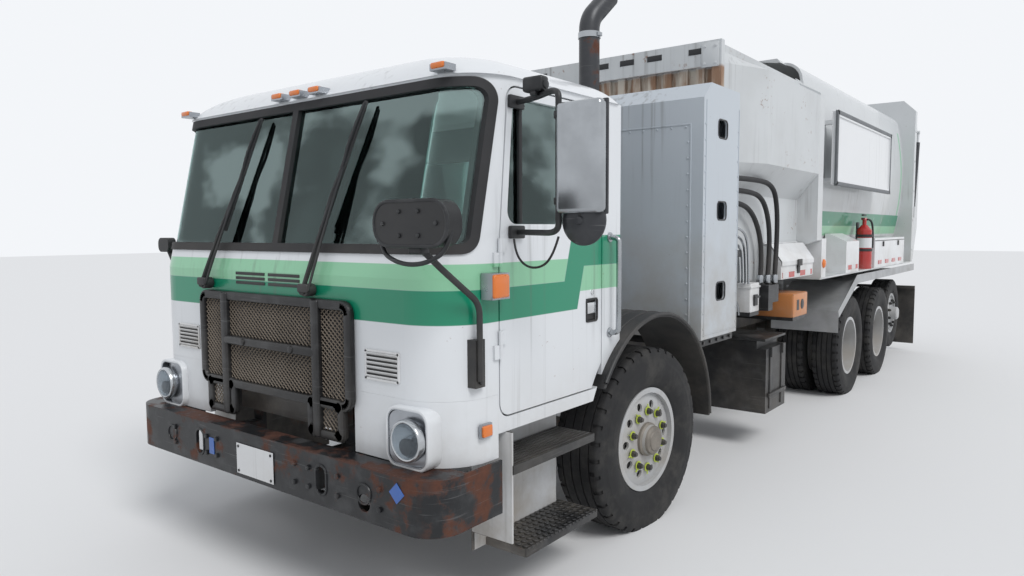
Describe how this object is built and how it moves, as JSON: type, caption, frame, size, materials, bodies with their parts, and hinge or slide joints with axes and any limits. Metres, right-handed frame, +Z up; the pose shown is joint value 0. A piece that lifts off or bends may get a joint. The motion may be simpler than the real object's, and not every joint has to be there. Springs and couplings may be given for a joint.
{
  "type": "garbage truck",
  "caption": "Side-loading refuse truck with a cab over the engine, gas tanks behind it, a tipping barrel body and a reach arm.",
  "frame": {"origin": "on the ground, under the middle of the truck's overall length and width", "axes": "+Z up, -Y the way the truck faces, +X the truck's left side"},
  "size_m": [3.435, 10.265, 3.494],
  "materials": {
    "white_paint": "gloss, dusty",
    "body_metal": "worn pale grey",
    "frame_paint": "satin, dusty",
    "bare_steel": "worn",
    "aluminium": "dull",
    "chrome": "polished",
    "cast_iron": "matt",
    "rubber": "matt",
    "tyre": "matt, dusty",
    "black_plastic": "matt",
    "lamp_plastic": "clear and amber",
    "rim_paint": "gloss, dusty",
    "glass": "clear",
    "red_paint": "gloss"
  },
  "bodies": {
    "chassis": {"frame": "frame_paint", "bumper": "frame_paint", "cab_shell": "white_paint", "cab_roof": "white_paint", "cab_glass": "glass", "window_gaskets": "rubber", "front_skirt": "white_paint", "grille": "black_plastic", "lamps": "lamp_plastic", "cab_interior": "black_plastic", "engine": "cast_iron", "axles": "cast_iron", "black_fenders": "black_plastic", "steps": "frame_paint", "stacks": "bare_steel", "cng_enclosure": "aluminium", "chassis_boxes": "frame_paint", "spot_mirrors": "black_plastic", "rear_fenders": "aluminium", "hoses": "rubber"},
    "knuckle_left": {"knuckle_left": "cast_iron"},
    "knuckle_right": {"knuckle_right": "cast_iron"},
    "front_left_wheel": {"front_left_tyre": "tyre", "front_left_rim": "rim_paint"},
    "tag_left_wheel": {"tag_left_tyre": "tyre", "tag_left_rim": "aluminium"},
    "drive_front_left_wheels": {"drive_front_left_tyres": "tyre", "drive_front_left_rims": "rim_paint"},
    "drive_rear_left_wheels": {"drive_rear_left_tyres": "tyre", "drive_rear_left_rims": "rim_paint"},
    "left_door": {"door_left": "white_paint", "door_glass_left": "glass", "mirrors_left": "bare_steel"},
    "front_right_wheel": {"front_right_tyre": "tyre", "front_right_rim": "rim_paint"},
    "tag_right_wheel": {"tag_right_tyre": "tyre", "tag_right_rim": "aluminium"},
    "drive_front_right_wheels": {"drive_front_right_tyres": "tyre", "drive_front_right_rims": "rim_paint"},
    "drive_rear_right_wheels": {"drive_rear_right_tyres": "tyre", "drive_rear_right_rims": "rim_paint"},
    "right_door": {"door_right": "white_paint", "door_glass_right": "glass", "mirrors_right": "bare_steel"},
    "tipping_body": {"hopper": "body_metal", "body_shell": "body_metal", "sign": "white_paint", "side_boxes": "white_paint", "extinguisher": "red_paint"},
    "tailgate": {"tailgate": "body_metal"},
    "packer": {"packer": "bare_steel"},
    "toolbox_lid": {"toolbox_lid": "white_paint"},
    "carriage": {"carriage": "frame_paint"},
    "lift_arm": {"lift_arm": "frame_paint"},
    "finger_front": {"finger_front": "frame_paint"},
    "finger_rear": {"finger_rear": "frame_paint"},
    "hoist_barrel": {"hoist_barrel": "frame_paint"},
    "hoist_rod": {"hoist_rod": "chrome"},
    "tailgate_barrels": {"tailgate_barrels": "frame_paint"},
    "tailgate_rods": {"tailgate_rods": "chrome"}
  },
  "joints": [
    {"name": "steer_left", "type": "hinge", "parent": "chassis", "child": "knuckle_left", "pos_m": [0.88, -3.18, 0.514], "axis": [0, 0, 1], "range_deg": [-31, 39]},
    {"name": "steer_right", "type": "hinge", "parent": "chassis", "child": "knuckle_right", "pos_m": [-0.88, -3.18, 0.514], "axis": [0, 0, 1], "range_deg": [-31, 39]},
    {"name": "spin_front_left", "type": "hinge", "parent": "knuckle_left", "child": "front_left_wheel", "pos_m": [1.027, -3.19051, 0.514], "axis": [0.9974, -0.0715, 0], "continuous": true},
    {"name": "spin_front_right", "type": "hinge", "parent": "knuckle_right", "child": "front_right_wheel", "pos_m": [-1.027, -3.16949, 0.514], "axis": [0.9974, -0.0715, 0], "continuous": true},
    {"name": "spin_drive_front_left", "type": "hinge", "parent": "chassis", "child": "drive_front_left_wheels", "pos_m": [0.893, 1.297, 0.505], "axis": [1, 0, 0], "continuous": true},
    {"name": "spin_drive_rear_left", "type": "hinge", "parent": "chassis", "child": "drive_rear_left_wheels", "pos_m": [0.893, 2.657, 0.505], "axis": [1, 0, 0], "continuous": true},
    {"name": "spin_tag_left", "type": "hinge", "parent": "chassis", "child": "tag_left_wheel", "pos_m": [0.96, 3.978, 0.6], "axis": [1, 0, 0], "continuous": true},
    {"name": "spin_drive_front_right", "type": "hinge", "parent": "chassis", "child": "drive_front_right_wheels", "pos_m": [-0.893, 1.297, 0.505], "axis": [1, 0, 0], "continuous": true},
    {"name": "spin_drive_rear_right", "type": "hinge", "parent": "chassis", "child": "drive_rear_right_wheels", "pos_m": [-0.893, 2.657, 0.505], "axis": [1, 0, 0], "continuous": true},
    {"name": "spin_tag_right", "type": "hinge", "parent": "chassis", "child": "tag_right_wheel", "pos_m": [-0.96, 3.978, 0.6], "axis": [1, 0, 0], "continuous": true},
    {"name": "left_door_hinge", "type": "hinge", "parent": "chassis", "child": "left_door", "pos_m": [1.184, -4.605, 1.6], "axis": [0, 0, -1], "range_deg": [0, 55]},
    {"name": "right_door_hinge", "type": "hinge", "parent": "chassis", "child": "right_door", "pos_m": [-1.184, -4.605, 1.6], "axis": [0, 0, 1], "range_deg": [0, 55]},
    {"name": "body_tilt", "type": "hinge", "parent": "chassis", "child": "tipping_body", "pos_m": [0, 4.62, 1.16], "axis": [-1, 0, 0], "range_deg": [0, 45]},
    {"name": "tailgate_swing", "type": "hinge", "parent": "tipping_body", "child": "tailgate", "pos_m": [0, 4.482, 3.422], "axis": [1, 0, 0], "range_deg": [0, 90]},
    {"name": "packer_slide", "type": "slide", "parent": "tipping_body", "child": "packer", "axis": [0, 1, 0], "range_m": [0, 1.3]},
    {"name": "toolbox_lid_hinge", "type": "hinge", "parent": "tipping_body", "child": "toolbox_lid", "pos_m": [1.051, -0.58, 1.622], "axis": [0, -1, 0], "range_deg": [0, 80]},
    {"name": "arm_reach", "type": "slide", "parent": "chassis", "child": "carriage", "axis": [-1, 0, 0], "range_m": [0, 1.5]},
    {"name": "arm_lift", "type": "hinge", "parent": "carriage", "child": "lift_arm", "pos_m": [-1.262, -1.03, 1.262], "axis": [0, 1, 0], "range_deg": [0, 170]},
    {"name": "grip_front", "type": "hinge", "parent": "lift_arm", "child": "finger_front", "pos_m": [-1.384, -1.34, 0.565], "axis": [0, 0, -1], "range_deg": [0, 100]},
    {"name": "grip_rear", "type": "hinge", "parent": "lift_arm", "child": "finger_rear", "pos_m": [-1.384, -0.72, 0.565], "axis": [0, 0, 1], "range_deg": [0, 100]},
    {"name": "hoist_barrel_hinge", "type": "hinge", "parent": "chassis", "child": "hoist_barrel", "pos_m": [0, 3.12, 0.83], "axis": [-1, 0, 0], "range_deg": [0, 58.5]},
    {"name": "hoist_stroke", "type": "slide", "parent": "hoist_barrel", "child": "hoist_rod", "axis": [0, -0.9924, 0.1232], "range_m": [0, 0.89]},
    {"name": "gate_barrel_hinge", "type": "hinge", "parent": "tipping_body", "child": "tailgate_barrels", "pos_m": [0, 4.535, 1.95], "axis": [1, 0, 0], "range_deg": [0, 3]},
    {"name": "gate_stroke", "type": "slide", "parent": "tailgate_barrels", "child": "tailgate_rods", "axis": [0, 0.2119, 0.9773], "range_m": [0, 0.638]}
  ],
  "couplings": [
    {"joint": "steer_right", "follows": "steer_left", "ratio": 1},
    {"joint": "grip_rear", "follows": "grip_front", "ratio": 1},
    {"joint": "hoist_barrel_hinge", "follows": "body_tilt", "ratio": 1.2946},
    {"joint": "hoist_stroke", "follows": "body_tilt", "m_per_rad": 1.1305},
    {"joint": "gate_barrel_hinge", "follows": "tailgate_swing", "ratio": 0.03289},
    {"joint": "gate_stroke", "follows": "tailgate_swing", "m_per_rad": 0.40564}
  ]
}
